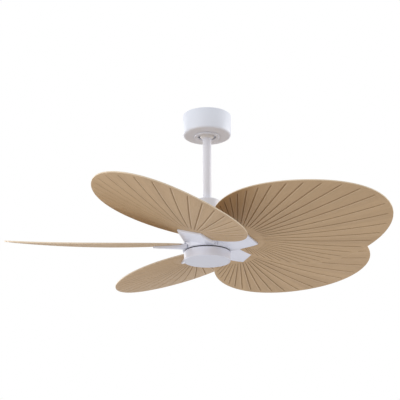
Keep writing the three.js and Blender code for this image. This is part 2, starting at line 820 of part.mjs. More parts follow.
function leafGeometry() {
  const points = [];
  const index = [];
  const store = (ring) => ring.map(({ angle, point }) => {
    points.push(...point);
    return { angle, id: points.length / 3 - 1 };
  });
  const triangle = (a, b, c, down) => index.push(a, down ? c : b, down ? b : c);
  const band = (inner, outer, down) => {
    const turn = (ring, i) => ring[i % ring.length].angle + (i >= ring.length ? 2 * Math.PI : 0);
    const id = (ring, i) => ring[i % ring.length].id;
    let i = 0;
    let j = 0;
    while (i < inner.length || j < outer.length) {
      const stepInner = j >= outer.length
        || (i < inner.length && turn(inner, i + 1) <= turn(outer, j + 1));
      if (stepInner) triangle(id(inner, i), id(outer, j), id(inner, i + 1), down);
      else triangle(id(inner, i), id(outer, j), id(outer, j + 1), down);
      if (stepInner) i += 1;
      else j += 1;
    }
  };
  // One face of the leaf: a fan inside the first ring, then a band from each ring to the next.
  const face = (rings, lift, down) => {
    const stored = rings.map(store);
    const level = dish(pleatCentreReach, 0) + lift;
    const [centre] = store([{ angle: 0, point: [pleatCentreReach, 0, level] }]);
    stored[0].forEach(({ id }, i) =>
      triangle(centre.id, id, stored[0][(i + 1) % stored[0].length].id, down));
    for (let i = 1; i < stored.length; i += 1) band(stored[i - 1], stored[i], down);
    return stored[stored.length - 1];
  };

  const shares = Array.from({ length: pleatRings + 1 }, (_, i) => i / pleatRings);
  const lowerRim = face([...shares.map(groovedRing), rimRing(0)], 0, true);
  const upperRim = face([
    plainRing(rimSteps / 4, shares[1], bladeThickness),
    plainRing(rimSteps / 2, shares[2], bladeThickness),
    rimRing(bladeThickness),
  ], bladeThickness, false);
  band(upperRim, lowerRim, false);

  const geometry = new THREE.BufferGeometry();
  geometry.setAttribute('position', new THREE.Float32BufferAttribute(points, 3));
  geometry.setIndex(index);
  return geometry;
}

// Turns a blade's own frame into its spoke's frame: pitched about its length, tips raised.
function bladeMatrix() {
  const turn = new THREE.Euler(-rad(bladePitch), -rad(bladeRise), 0, 'YXZ');
  return new THREE.Matrix4().makeRotationFromEuler(turn).setPosition(0, 0, bladePlane);
}

// ---------- Blade arms ----------

// A cast wedge: flat underneath, following the blade's dish above, with an upright curved
// flange at its root that lies on the turning ring. Drawn in the frame of its spoke.
function bladeArm() {
  const rootReach = ringInner;
  const tipEnd = armReach + overshoot;
  const plan = new THREE.Shape([
    at(rootReach, armRootLeading), at(armReach, armTipLeading),
    at(armReach, armTipTrailing), at(rootReach, armRootTrailing),
  ]);
  const slope = Math.tan(rad(armRise - bladeRise));
  const underside = (u) => -armTipSeat - armThickness - (armReach - u) * slope;
  const halfway = (u) => dish(u, bladeSideShift) + bladeThickness / 2;
  const side = new THREE.Shape([
    at(rootReach, underside(rootReach)), at(tipEnd, underside(tipEnd)),
    at(tipEnd, halfway(tipEnd)), at(bladeRoot, halfway(bladeRoot)),
    at(rootReach, halfway(bladeRoot)),
  ]);
  const planGeometry = new THREE.ExtrudeGeometry(plan, { depth: armStock, bevelEnabled: false });
  const sideGeometry = new THREE.ExtrudeGeometry(side, { depth: armStock, bevelEnabled: false });
  const toSpoke = bladeMatrix();
  const planBlock = planGeometry.translate(0, 0, -armStock / 2).applyMatrix4(toSpoke);
  const sideBlock = sideGeometry.rotateX(Math.PI / 2).translate(0, armStock / 2, 0).applyMatrix4(toSpoke);
  const wedge = solidOf(planBlock).intersect(solidOf(sideBlock));

  const flangeOutline = new THREE.Shape();
  const flangeAngle = rad(armFlangeHalfAngle);
  flangeOutline.absarc(0, 0, flangeInner + armFlangeThickness, -flangeAngle, flangeAngle);
  flangeOutline.absarc(0, 0, flangeInner, flangeAngle, -flangeAngle, true);
  const flange = slab(flangeOutline, ringBottom + flangeInset, ringTop - flangeInset, 4);

  const ringSpace = disc(flangeInner, ringBottom - armStock, ringTop + armStock, roundSteps);
  const housingSpace = disc(bladeRoot - seatGap, ringTop - flangeInset, ringTop + armStock, roundSteps);
  const below = block(2 * armStock, 2 * armStock, armStock, armStock, 0, ringBottom - armStock / 2);
  const bladeSpace = solidOf(leafSpaceAboveArm().applyMatrix4(toSpoke));
  return cut(joined(cut(wedge, housingSpace), flange), ringSpace, below, bladeSpace);
}

// What the leaf takes up over the arm: a block whose lower face follows the dish.
function leafSpaceAboveArm() {
  const start = bladeRoot - seatGap;
  const length = armReach + 2 * overshoot - start;
  const space = new THREE.BoxGeometry(length, armStock, 1, 3, 4, 1).translate(start + length / 2, 0, 0);
  const { position } = space.attributes;
  for (let i = 0; i < position.count; i += 1) {
    const lowest = dish(position.getX(i), position.getY(i)) - seatGap;
    position.setZ(i, position.getZ(i) < 0 ? lowest : lowest + armStock / 4);
  }
  return space;
}

// ---------- Assembly ----------

const fan = new THREE.Group();
fan.name = 'ceiling_fan';

function add(name, geometry, material, parent = fan) {
  const mesh = new THREE.Mesh(geometry, material);
  mesh.name = name;
  parent.add(mesh);
  return mesh;
}

function addSolid(name, solid, material, parent = fan) {
  return add(name, geometryOf(solid), material, parent);
}

addSolid('hanger_bracket', hangerBracket(), zincSteel);
addSolid('receiver_module', receiverModule(), whitePlastic);
addSolid('canopy', canopy(), whitePaint);
addSolid('canopy_trim_ring', trimRing(), whitePaint);
addSolid('canopy_screw_1', canopyScrew(1), zincSteel);
addSolid('canopy_screw_2', canopyScrew(-1), zincSteel);

addSolid('ball_cross_pin', barAlongX(crossPinRadius, crossPinLength, ballCentre), zincSteel);
addSolid('hanger_ball', hangerBall(), whitePlastic);
addSolid('downrod', downrod(), whitePaint);
addSolid('coupling_cover', couplingCover(), whitePaint);
addSolid('motor_yoke', yoke(), castAluminium);
addSolid('clevis_pin', clevisPin(), zincSteel);
addSolid('hairpin_clip', hairpin(), zincSteel);
addSolid('upper_housing', upperHousing(), whitePaint);
addSolid('motor_shaft', motorShaft(), zincSteel);
addSolid('motor_controller', motorController(), circuitBoard);
addSolid('stator_core', statorCore(), ironLaminations);
addSolid('stator_winding', statorWinding(), copperWire);
addSolid('light_drum', lightDrum(), whitePaint);
addSolid('shaft_nut', shaftNut(), zincSteel);
addSolid('led_tray', ledTray(), castAluminium);
addSolid('led_board', ledBoard(), whiteBoard);
addSolid('lens', lens(), opalLens);

addSolid('rotor_ring', rotorRing(), whitePaint);
addSolid('magnet_ring', magnetRing(), darkMagnet);
addSolid('rotor_upper_plate', endPlateWithCup(1), castAluminium);
addSolid('rotor_lower_plate', endPlateWithCup(-1), castAluminium);
addSolid('upper_bearing', bearing(1), bearingSteel);
addSolid('lower_bearing', bearing(-1), bearingSteel);

const leaf = leafGeometry();
const armGeometry = geometryOf(bladeArm());
const leafNormals = leaf.toNonIndexed();
leafNormals.computeVertexNormals();
for (let i = 0; i < bladeCount; i += 1) {
  const spoke = new THREE.Group();
  spoke.rotation.z = rad(firstBladeAngle) + 2 * Math.PI * i / bladeCount;
  fan.add(spoke);
  add(`blade_arm_${i + 1}`, armGeometry, whitePaint, spoke);
  const blade = add(`blade_${i + 1}`, leafNormals, palmWood, spoke);
  blade.position.z = bladePlane;
  blade.rotation.set(-rad(bladePitch), -rad(bladeRise), 0, 'YXZ');
}

export default fan;
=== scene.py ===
"""A palm-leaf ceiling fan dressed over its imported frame. Metres, +Z up, ceiling at z = 0."""
import math

import bmesh
import bpy
from mathutils import Matrix, Vector


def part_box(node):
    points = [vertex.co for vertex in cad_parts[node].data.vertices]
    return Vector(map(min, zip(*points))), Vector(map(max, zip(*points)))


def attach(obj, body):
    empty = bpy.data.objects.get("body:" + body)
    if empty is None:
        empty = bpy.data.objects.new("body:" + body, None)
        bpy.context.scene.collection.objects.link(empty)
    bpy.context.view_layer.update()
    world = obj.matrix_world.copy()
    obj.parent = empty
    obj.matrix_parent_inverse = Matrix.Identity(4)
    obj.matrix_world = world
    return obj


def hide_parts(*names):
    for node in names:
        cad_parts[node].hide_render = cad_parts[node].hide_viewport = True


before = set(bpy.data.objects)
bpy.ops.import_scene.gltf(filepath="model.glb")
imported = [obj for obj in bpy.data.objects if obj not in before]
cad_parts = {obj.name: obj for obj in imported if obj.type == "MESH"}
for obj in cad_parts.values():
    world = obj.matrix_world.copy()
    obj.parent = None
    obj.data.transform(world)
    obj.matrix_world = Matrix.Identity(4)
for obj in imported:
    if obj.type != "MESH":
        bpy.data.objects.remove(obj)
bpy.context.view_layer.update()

# ---------- Studio and camera ----------
# A white room with three broad banks of soft light, and a pale floor far below that is clear from
# underneath. The camera looks up, as the photograph does.

scene = bpy.context.scene
scene.view_settings.view_transform = "Standard"

CAMERA_PLACE = (0, -3.503, -1.5008)
CAMERA_TILT = math.radians(18.96)
CAMERA_TURN = math.radians(0.38)
CAMERA_LENS = 101.6
SENSOR_WIDTH = 36
FLOOR_LEVEL = -3.4
FLOOR_HALF_WIDTH = 60
FLOOR_COLOUR = (0.84, 0.845, 0.885, 1)
FLOOR_ROUGHNESS = 0.9
FLOOR_BRIGHTENING = 0.6
AMBIENT_LIGHT = 0.66
LAMP_SIZE = 3.0
LAMP_DISTANCE = 3.7
LAMP_TARGET = Vector((0, 0, -0.45))

camera_data = bpy.data.cameras.new("camera")
camera_data.lens = CAMERA_LENS
camera_data.sensor_width = SENSOR_WIDTH
camera = bpy.data.objects.new("camera", camera_data)
camera.location = CAMERA_PLACE
camera.rotation_euler = (math.pi / 2 + CAMERA_TILT, 0, CAMERA_TURN)
scene.collection.objects.link(camera)
scene.camera = camera


def node(tree, kind, inputs=None, **settings):
    """A node with its settings; each input is a value or another node's output."""
    made = tree.nodes.new("ShaderNode" + kind)
    for key, value in settings.items():
        setattr(made, key, value)
    for key, value in (inputs or {}).items():
        if isinstance(value, bpy.types.NodeSocket):
            tree.links.new(value, made.inputs[key])
        else:
            made.inputs[key].default_value = value
    return made


def maths(tree, operation, *values):
    """The result of a Math node on values or sockets."""
    return node(tree, "Math", dict(enumerate(values)), operation=operation).outputs[0]


room = bpy.data.worlds.new("white_room")
room.use_nodes = True
scene.world = room
air = room.node_tree
air.nodes.clear()
path = node(air, "LightPath").outputs
seen = maths(air, "MAXIMUM", path["Is Camera Ray"], path["Is Glossy Ray"])
seen = maths(air, "MAXIMUM", seen, path["Is Transmission Ray"])
white = node(air, "Background", {"Color": (1, 1, 1, 1), "Strength": 1.0}).outputs[0]
ambient = node(air, "Background", {"Color": (1, 1, 1, 1), "Strength": AMBIENT_LIGHT}).outputs[0]
room_light = node(air, "MixShader", {0: seen, 1: ambient, 2: white}).outputs[0]
node(air, "OutputWorld", {"Surface": room_light})


def soft_lamp(name, bearing, lift, power):
    """A square bank of light that faces the motor from a bearing and a height angle."""
    data = bpy.data.lights.new(name, "AREA")
    data.shape = "SQUARE"
    data.size = LAMP_SIZE
    data.energy = power
    lamp = bpy.data.objects.new(name, data)
    turn = Matrix.Rotation(math.radians(bearing), 4, "Z") @ Matrix.Rotation(-math.radians(lift), 4, "Y")
    away = turn @ Vector((LAMP_DISTANCE, 0, 0))
    lamp.location = LAMP_TARGET + away
    lamp.rotation_euler = (-away).to_track_quat("-Z", "Y").to_euler()
    lamp.visible_camera = False
    scene.collection.objects.link(lamp)


soft_lamp("front_left_bank", 215, 0, 50)
soft_lamp("right_bank", 14, 5, 72)
soft_lamp("back_left_bank", 135, 5, 52)

floor_mesh = bmesh.new()
bmesh.ops.create_grid(floor_mesh, x_segments=1, y_segments=1, size=FLOOR_HALF_WIDTH)
bmesh.ops.translate(floor_mesh, verts=floor_mesh.verts, vec=(0, 0, FLOOR_LEVEL))
floor_data = bpy.data.meshes.new("floor")
floor_mesh.to_mesh(floor_data)
floor = bpy.data.objects.new("floor", floor_data)
scene.collection.objects.link(floor)
floor_paint = bpy.data.materials.new("floor_paint")
floor_paint.use_nodes = True
ground = floor_paint.node_tree
floor_shader = ground.nodes["Principled BSDF"]
floor_shader.inputs["Base Color"].default_value = FLOOR_COLOUR
floor_shader.inputs["Roughness"].default_value = FLOOR_ROUGHNESS
brightened = maths(ground, "MULTIPLY", node(ground, "LightPath").outputs["Is Camera Ray"],
                   FLOOR_BRIGHTENING)
pale = node(ground, "Emission", {"Color": (1, 1, 1, 1), "Strength": 1.0}).outputs[0]
pale_floor = node(ground, "MixShader", {0: brightened, 1: floor_shader.outputs[0], 2: pale}).outputs[0]
from_below = node(ground, "NewGeometry").outputs["Backfacing"]
clear = node(ground, "BsdfTransparent").outputs[0]
one_sided = node(ground, "MixShader", {0: from_below, 1: pale_floor, 2: clear}).outputs[0]
ground.links.new(one_sided, ground.nodes["Material Output"].inputs["Surface"])
floor_data.materials.append(floor_paint)

# ---------- White powder coat ----------
# The painted metal has a satin white powder coat: a cool white with a very fine orange peel and
# slow, faint changes in shade. The canopy and its trim ring take a bluer copy of the same coat, as
# painted light that offsets the warm light bounced up onto them from the blades.


def surface(name, colour, roughness, metallic=0.0):
    """A new material with its tree, its shader and its Object coordinates."""
    material = bpy.data.materials.new(name)
    material.use_nodes = True
    tree = material.node_tree
    shader = tree.nodes["Principled BSDF"]
    shader.inputs["Base Color"].default_value = (*colour, 1)
    shader.inputs["Roughness"].default_value = roughness
    shader.inputs["Metallic"].default_value = metallic
    return material, tree, shader, node(tree, "TexCoord").outputs["Object"]


def noise(tree, place, scale, detail=2.0, roughness=0.5):
    """The grey output of a Noise texture at a place."""
    wanted = {"Vector": place, "Scale": scale, "Detail": detail, "Roughness": roughness}
    return node(tree, "TexNoise", wanted).outputs["Fac"]


def between(tree, share, first, second):
    """A colour that runs from first to second as share runs from 0 to 1."""
    mix = node(tree, "Mix", data_type="RGBA")
    for index, value in ((0, share), (6, first), (7, second)):
        if isinstance(value, bpy.types.NodeSocket):
            tree.links.new(value, mix.inputs[index])
        else:
            mix.inputs[index].default_value = (*value, 1) if index else value
    return mix.outputs[2]


def ramp(tree, value, low, high, first=0.0, second=1.0):
    """A value stretched from the range low..high to first..second, and held at its ends."""
    wanted = {"Value": value, "From Min": low, "From Max": high, "To Min": first, "To Max": second}
    return node(tree, "MapRange", wanted, clamp=True).outputs["Result"]


def relief(tree, shader, height, depth):
    """Puts a bump of a real depth on a shader."""
    bump = node(tree, "Bump", {"Height": height, "Distance": depth, "Strength": 1.0})
    tree.links.new(bump.outputs[0], shader.inputs["Normal"])


DRIFT_SCALE = 7.0
GRAIN_SHARE = 0.4
GLOSS_DRIFT = 0.05


def speckled(name, light, dark, roughness, metallic, grain, depth):
    """A finish whose colour and gloss drift slowly, over a fine raised grain."""
    material, tree, shader, place = surface(name, light, roughness, metallic)
    drift = noise(tree, place, DRIFT_SCALE, 3.0)
    fine = noise(tree, place, grain, 3.0, 0.6)
    shade = maths(tree, "ADD", drift, maths(tree, "MULTIPLY", fine, GRAIN_SHARE))
    shade = ramp(tree, shade, 0.45, 0.95)
    tree.links.new(between(tree, shade, dark, light), shader.inputs["Base Color"])
    gloss = ramp(tree, drift, 0.3, 0.7, roughness - GLOSS_DRIFT, roughness + GLOSS_DRIFT)
    tree.links.new(gloss, shader.inputs["Roughness"])
    relief(tree, shader, fine, depth)
    return material


COAT_ROUGHNESS = 0.34
PEEL_SCALE = 650
PEEL_DEPTH = 0.00004
white_paint = speckled("white_paint", (0.80, 0.805, 0.87), (0.775, 0.78, 0.845),
                       COAT_ROUGHNESS, 0.0, PEEL_SCALE, PEEL_DEPTH)
# The same coat made bluer: painted light that offsets the warm light bounced up from the blades.
canopy_light_offset_paint = speckled("canopy_light_offset_paint", (0.80, 0.835, 0.92), (0.775, 0.81, 0.895),
                        COAT_ROUGHNESS, 0.0, PEEL_SCALE, PEEL_DEPTH)

# ---------- Canopy, trim ring, downrod and coupling cover ----------
# Pressed and rolled steel, powder coated white. The canopy is a deep pan that hides the bracket;
# the trim ring pushes up over its screws; the cover slides down the rod over the coupling.

ROUND_STEPS = 128
SAME_PLACE = 1e-6
LARGE_ROUNDING = 0.003


def finished(bm, name, material, body, replaced=(), sharp=32.0):
    """The bmesh as a named piece: shaded, painted, and riding on its body."""
    data = bpy.data.meshes.new(name)
    for face in bm.faces:
        face.smooth = True
    bm.to_mesh(data)
    bm.free()
    data.set_sharp_from_angle(angle=math.radians(sharp))
    data.materials.append(material)
    piece = bpy.data.objects.new(name, data)
    scene.collection.objects.link(piece)
    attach(piece, body)
    if replaced:
        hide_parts(*replaced)


def turned(profile, closed=True, steps=ROUND_STEPS):
    """Spins (radius, height, rounding) points round the fan's axis and rounds each corner."""
    bm = bmesh.new()
    verts = [bm.verts.new((radius, 0, height)) for radius, height, _ in profile]
    pairs = list(zip(verts, verts[1:])) + ([(verts[-1], verts[0])] if closed else [])
    edges = [bm.edges.new(pair) for pair in pairs]
    bmesh.ops.spin(bm, geom=verts + edges, cent=(0, 0, 0), axis=(0, 0, 1),
                   angle=2 * math.pi, steps=steps, use_merge=True, use_duplicate=False)
    bmesh.ops.remove_doubles(bm, verts=bm.verts, dist=SAME_PLACE)
    bmesh.ops.recalc_face_normals(bm, faces=bm.faces)
    for radius, height, rounding in profile:
        if not rounding:
            continue
        corner = [edge for edge in bm.edges if all(
            abs(math.hypot(*vert.co.xy) - radius) < SAME_PLACE
            and abs(vert.co.z - height) < SAME_PLACE for vert in edge.verts)]
        bmesh.ops.bevel(bm, geom=corner, offset=rounding, offset_type="OFFSET", profile=0.5,
                        segments=3 if rounding < LARGE_ROUNDING else 8, affect="EDGES", material=-1)
    return bm


canopy_low, canopy_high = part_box("canopy")
CANOPY_WALL = 0.0016
CANOPY_EDGE = 0.0085
CANOPY_HOLE = 0.033
canopy_inner = canopy_high.x - CANOPY_WALL
canopy_floor = canopy_low.z + CANOPY_WALL
finished(turned([
    (CANOPY_HOLE, canopy_low.z, 0.0003), (canopy_high.x, canopy_low.z, CANOPY_EDGE),
    (canopy_high.x, canopy_high.z, 0.0005), (canopy_inner, canopy_high.z, 0.0005),
    (canopy_inner, canopy_floor, CANOPY_EDGE - CANOPY_WALL), (CANOPY_HOLE, canopy_floor, 0.0003),
]), "ceiling_canopy", canopy_light_offset_paint, "ceiling_mount", ["canopy"])

trim_low, trim_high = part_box("canopy_trim_ring")
TRIM_HOLE = 0.030
TRIM_SHEET = 0.0012
TRIM_SEAT = 0.0003
trim_rim = canopy_low.z - TRIM_SEAT
trim_floor = trim_low.z + TRIM_SHEET
trim_wall = trim_high.x - TRIM_SHEET
finished(turned([
    (TRIM_HOLE, trim_low.z, 0.0005), (trim_high.x, trim_low.z, 0.0012),
    (trim_high.x, trim_rim, 0), (trim_wall, trim_rim, 0),
    (trim_wall, trim_floor, 0.0004), (TRIM_HOLE + TRIM_SHEET, trim_floor, 0.0004),
    (TRIM_HOLE + TRIM_SHEET, trim_high.z, 0.0003), (TRIM_HOLE, trim_high.z, 0.0003),
]), "trim_ring", canopy_light_offset_paint, "ceiling_mount", ["canopy_trim_ring"])

rod_low, rod_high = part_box("downrod")
ROD_WALL = 0.0022
ROD_STEPS = 64
finished(turned([
    (rod_high.x - ROD_WALL, rod_low.z, 0.0005), (rod_high.x, rod_low.z, 0.0005),
    (rod_high.x, rod_high.z, 0.0005), (rod_high.x - ROD_WALL, rod_high.z, 0.0005),
], steps=ROD_STEPS), "rod", white_paint, "hanging_motor", ["downrod"])

cover_low, cover_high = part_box("coupling_cover")
COVER_WALL = 0.0015
COVER_EDGE = 0.004
COVER_CLEARANCE = 0.0008
cover_hole = rod_high.x + COVER_CLEARANCE
cover_roof = cover_high.z - COVER_WALL
finished(turned([
    (cover_high.x, cover_low.z, 0.0004), (cover_high.x, cover_high.z, COVER_EDGE),
    (cover_hole, cover_high.z, 0.0005), (cover_hole, cover_roof, 0),
    (cover_high.x - COVER_WALL, cover_roof, COVER_EDGE - COVER_WALL),
    (cover_high.x - COVER_WALL, cover_low.z, 0.0004),
]), "rod_cover", white_paint, "hanging_motor", ["coupling_cover"])

# ---------- Motor housing, turning ring, light drum and lens ----------
# Spun aluminium and pressed steel with the same white coat. The ring turns between the still
# housing and the still light drum; behind each seam sits a near-black ring of painted shade. An opal
# lens closes the drum.

housing_low, housing_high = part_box("upper_housing")
SHAFT_HOLE = 0.0088
HOUSING_WALL = 0.0022
HOUSING_SHOULDER = 0.016
housing_roof = housing_high.z - HOUSING_WALL
finished(turned([
    (housing_high.x, housing_low.z, 0.0006), (housing_high.x, housing_high.z, HOUSING_SHOULDER),
    (SHAFT_HOLE, housing_high.z, 0), (SHAFT_HOLE, housing_roof, 0),
    (housing_high.x - HOUSING_WALL, housing_roof, HOUSING_SHOULDER - HOUSING_WALL),
    (housing_high.x - HOUSING_WALL, housing_low.z, 0.0006),
]), "motor_housing", white_paint, "hanging_motor", ["upper_housing"])

ring_low, ring_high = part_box("rotor_ring")
RING_WALL = 0.013
finished(turned([
    (ring_high.x - RING_WALL, ring_low.z, 0.0005), (ring_high.x, ring_low.z, 0.0008),
    (ring_high.x, ring_high.z, 0.0008), (ring_high.x - RING_WALL, ring_high.z, 0.0005),
]), "turning_ring", white_paint, "rotor", ["rotor_ring"])

drum_low, drum_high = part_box("light_drum")
DRUM_WALL = 0.002
WELL_RADIUS = 0.0250
WELL_DEPTH = 0.0062
well_floor = drum_high.z - WELL_DEPTH
drum_inner = drum_high.x - DRUM_WALL
finished(turned([
    (drum_high.x, drum_low.z, 0.0007), (drum_high.x, drum_high.z, 0.0010),
    (WELL_RADIUS, drum_high.z, 0.0004), (WELL_RADIUS, well_floor, 0), (SHAFT_HOLE, well_floor, 0),
    (SHAFT_HOLE, well_floor - DRUM_WALL, 0), (WELL_RADIUS + DRUM_WALL, well_floor - DRUM_WALL, 0),
    (WELL_RADIUS + DRUM_WALL, drum_high.z - DRUM_WALL, 0), (drum_inner, drum_high.z - DRUM_WALL, 0),
    (drum_inner, drum_low.z, 0.0004),
]), "light_housing", white_paint, "hanging_motor", ["light_drum"])

# Painted shade: a near-black ring set just inside each seam, standing in for the shade inside the gap.
SEAM_SHADE_INSET = 0.0012
SEAM_SHADE_DEPTH = 0.003
SEAM_SHADE_GAP = 0.0002
seam_shade_black = speckled("seam_shade_black", (0.030, 0.030, 0.042), (0.022, 0.022, 0.030), 0.6, 0.0, 500, 0.00003)
for name, bottom, top in (("lower_seam_shade", drum_high.z, ring_low.z),
                          ("upper_seam_shade", ring_high.z, housing_low.z)):
    radius = ring_high.x - SEAM_SHADE_INSET
    low, high = bottom + SEAM_SHADE_GAP, top - SEAM_SHADE_GAP
    seam_shade_ring = turned([(radius - SEAM_SHADE_DEPTH, low, 0), (radius, low, 0), (radius, high, 0),
                    (radius - SEAM_SHADE_DEPTH, high, 0)])
    finished(seam_shade_ring, name, seam_shade_black, "hanging_motor")

OPAL_CLOUD_SCALE = 18.0
OPAL_GRAIN_SCALE = 1400
OPAL_GRAIN_DEPTH = 0.00001
OPAL_GLOW = 0.15
OPAL_GLOW_DEPTH = 0.004
opal, opal_tree, opal_shader, opal_place = surface("opal_lens", (0.69, 0.69, 0.74), 0.32)
opal_cloud = noise(opal_tree, opal_place, OPAL_CLOUD_SCALE, 3.0)
opal_tree.links.new(
    between(opal_tree, opal_cloud, (0.68, 0.68, 0.73), (0.70, 0.70, 0.75)),
    opal_shader.inputs["Base Color"])
opal_shader.inputs["Subsurface Weight"].default_value = OPAL_GLOW
opal_shader.inputs["Subsurface Radius"].default_value = (OPAL_GLOW_DEPTH,) * 3
opal_tree.links.new(ramp(opal_tree, opal_cloud, 0.3, 0.7, 0.28, 0.36), opal_shader.inputs["Roughness"])
relief(opal_tree, opal_shader, noise(opal_tree, opal_place, OPAL_GRAIN_SCALE), OPAL_GRAIN_DEPTH)

lens_low, lens_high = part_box("lens")
LENS_SHEET = 0.0026
LENS_RIM = 0.0018
finished(turned([
    (0, lens_low.z, 0), (lens_high.x, lens_low.z, 0.0009), (lens_high.x, lens_high.z, 0.0004),
    (lens_high.x - LENS_RIM, lens_high.z, 0.0004), (lens_high.x - LENS_RIM, lens_low.z + LENS_SHEET, 0),
    (0, lens_low.z + LENS_SHEET, 0),
], closed=False), "light_lens", opal, "hanging_motor", ["lens"])

# ---------- Palm-leaf blades ----------
# Each blade is one cupped leaf. Its lower face is moulded with narrow grooves that fan out from a
# plain pad over the arm and stop short of the rim; its upper face is smooth. Tan wood-fibre finish.

BLADES = 5
FIRST_BLADE = math.radians(-38.4)
BLADE_PITCH = math.radians(15.8)
BLADE_RISE = math.radians(1.67)
BLADE_DROP = 0.4515
BLADE_CENTRE = 0.3574
BLADE_HALF_LENGTH = 0.2905
BLADE_HALF_WIDTH = 0.2295
BLADE_SHIFT = 0.0079
BLADE_THICKNESS = 0.004
ROOT_GAP = 0.005
BLADE_ROOT = ring_high.x + ROOT_GAP
OVAL_TAPER = 0.0386
CUP_LENGTHWISE = 0.0121
CUP_CROSSWISE = 0.0071
PLEATS = 38
PLEAT_PITCH = math.radians(5.7)
FAN_REACH = 0.126
GROOVE_START = 0.080
GROOVE_FADE = 0.008
GROOVE_BORDER = 0.012
GROOVE_HALF_WIDTH = 0.0022
GROOVE_DEPTH = 0.0020
GROOVE_SHARE = 0.14
# Share of the groove mask also laid on the smooth upper face, where it shows as faint painted groove
# shade and duller gloss.
GROOVE_TRACE_ABOVE = 0.3
RIM_ROUNDING = 0.0010
ROOT_COLUMNS = 34
RIM_SEARCH_STEPS = 26

# Across a pleat: places in half widths of its groove, with their share of the groove's depth
# (below zero on the low ridge beside it), then places on the land, in shares of the pitch.
GROOVE_COLUMNS = ((-1.8, 0), (-1, 0), (-0.6, 0.9), (0, 1), (0.6, 0.9), (1, 0), (1.7, -0.25), (2.5, 0))
LAND_COLUMNS = (0.4, 0.55, 0.7)
# From the plain pad to the grooves' ends, as shares of the groove.
GROOVE_ROWS = (0, 0.01, 0.025, 0.06, 0.12, 0.2, 0.3, 0.4, 0.5, 0.6, 0.7, 0.8, 0.88, 0.95, 0.985, 1)
LEAF_ROWS = ([("plain", share) for share in (0, 0.25, 0.5, 0.75)]
             + [("grooved", share) for share in GROOVE_ROWS]
             + [("border", 0.6), ("border", 0.25)]
             + [("rounded", math.radians(turn)) for turn in (0, 30, 60, 90)])


def oval_reach(turn):
    """The leaf's outline against a plain ellipse: a little narrower towards the root."""
    return 1 + OVAL_TAPER * math.cos(3 * turn)


def rim_reach(angle):
    """Distance from the pleats' centre to the leaf's rim, which is cut square at its root."""
    near, far = 0.0, 2 * BLADE_HALF_LENGTH
    for _ in range(RIM_SEARCH_STEPS):
        middle = (near + far) / 2
        u = FAN_REACH + middle * math.cos(angle)
        along = (u - BLADE_CENTRE) / BLADE_HALF_LENGTH
        across = (middle * math.sin(angle) - BLADE_SHIFT) / BLADE_HALF_WIDTH
        inside = u >= BLADE_ROOT and math.hypot(along, across) <= oval_reach(math.atan2(across, along))
        near, far = (middle, far) if inside else (near, middle)
    return near


def dish(u, v):
    """Height of the leaf's lower face: a shallow cup, lowest in the middle."""
    along = (u - BLADE_CENTRE) / BLADE_HALF_LENGTH
    across = (v - BLADE_SHIFT) / BLADE_HALF_WIDTH
    return CUP_LENGTHWISE * (along ** 2 - 1) + CUP_CROSSWISE * across ** 2


def leaf_columns():
    """All directions round the pleats' centre: angle, offset in half widths and share of depth."""
    columns = []
    for pleat in range(PLEATS):
        angle = (pleat - (PLEATS - 1) / 2) * PLEAT_PITCH
        columns += [(angle, offset, depth) for offset, depth in GROOVE_COLUMNS]
        if pleat < PLEATS - 1:
            columns += [(angle + share * PLEAT_PITCH, 0, 0) for share in LAND_COLUMNS]
    last = (PLEATS - 1) / 2 * PLEAT_PITCH + 0.5 * PLEAT_PITCH
    gap = 2 * (math.pi - last) / (ROOT_COLUMNS - 1)
    return columns + [(last + step * gap, 0, 0) for step in range(ROOT_COLUMNS)]


def beside(offset, distance):
    """Angle from a pleat's middle to a place beside it, which is given in half widths."""
    return offset * min(GROOVE_HALF_WIDTH / distance, GROOVE_SHARE * PLEAT_PITCH)


COLUMNS = leaf_columns()
RIM_ANGLES = [angle + beside(offset, rim_reach(angle)) for angle, offset, _ in COLUMNS]
RIMS = [rim_reach(angle) for angle in RIM_ANGLES]


def leaf_point(row, column):
    """Distance and angle from the pleats' centre, height over the dish, and share in a groove."""
    kind, value = LEAF_ROWS[row]
    angle, offset, depth = COLUMNS[column]
    rim = RIMS[column]
    start = min(GROOVE_START, (rim - GROOVE_BORDER) / 2)
    groove = rim - GROOVE_BORDER - start
    if kind == "plain":
        return start * value, angle + beside(offset, start), 0, 0
    if kind == "grooved":
        distance = start + value * groove
        depth *= min(value * groove / GROOVE_FADE, (1 - value) * groove / GROOVE_FADE, 1)
        return distance, angle + beside(offset, distance), GROOVE_DEPTH * depth, depth
    angle = RIM_ANGLES[column]
    if kind == "border":
        return rim - value * GROOVE_BORDER, angle, 0, 0
    return rim - RIM_ROUNDING * (1 - math.sin(value)), angle, RIM_ROUNDING * (1 - math.cos(value)), 0


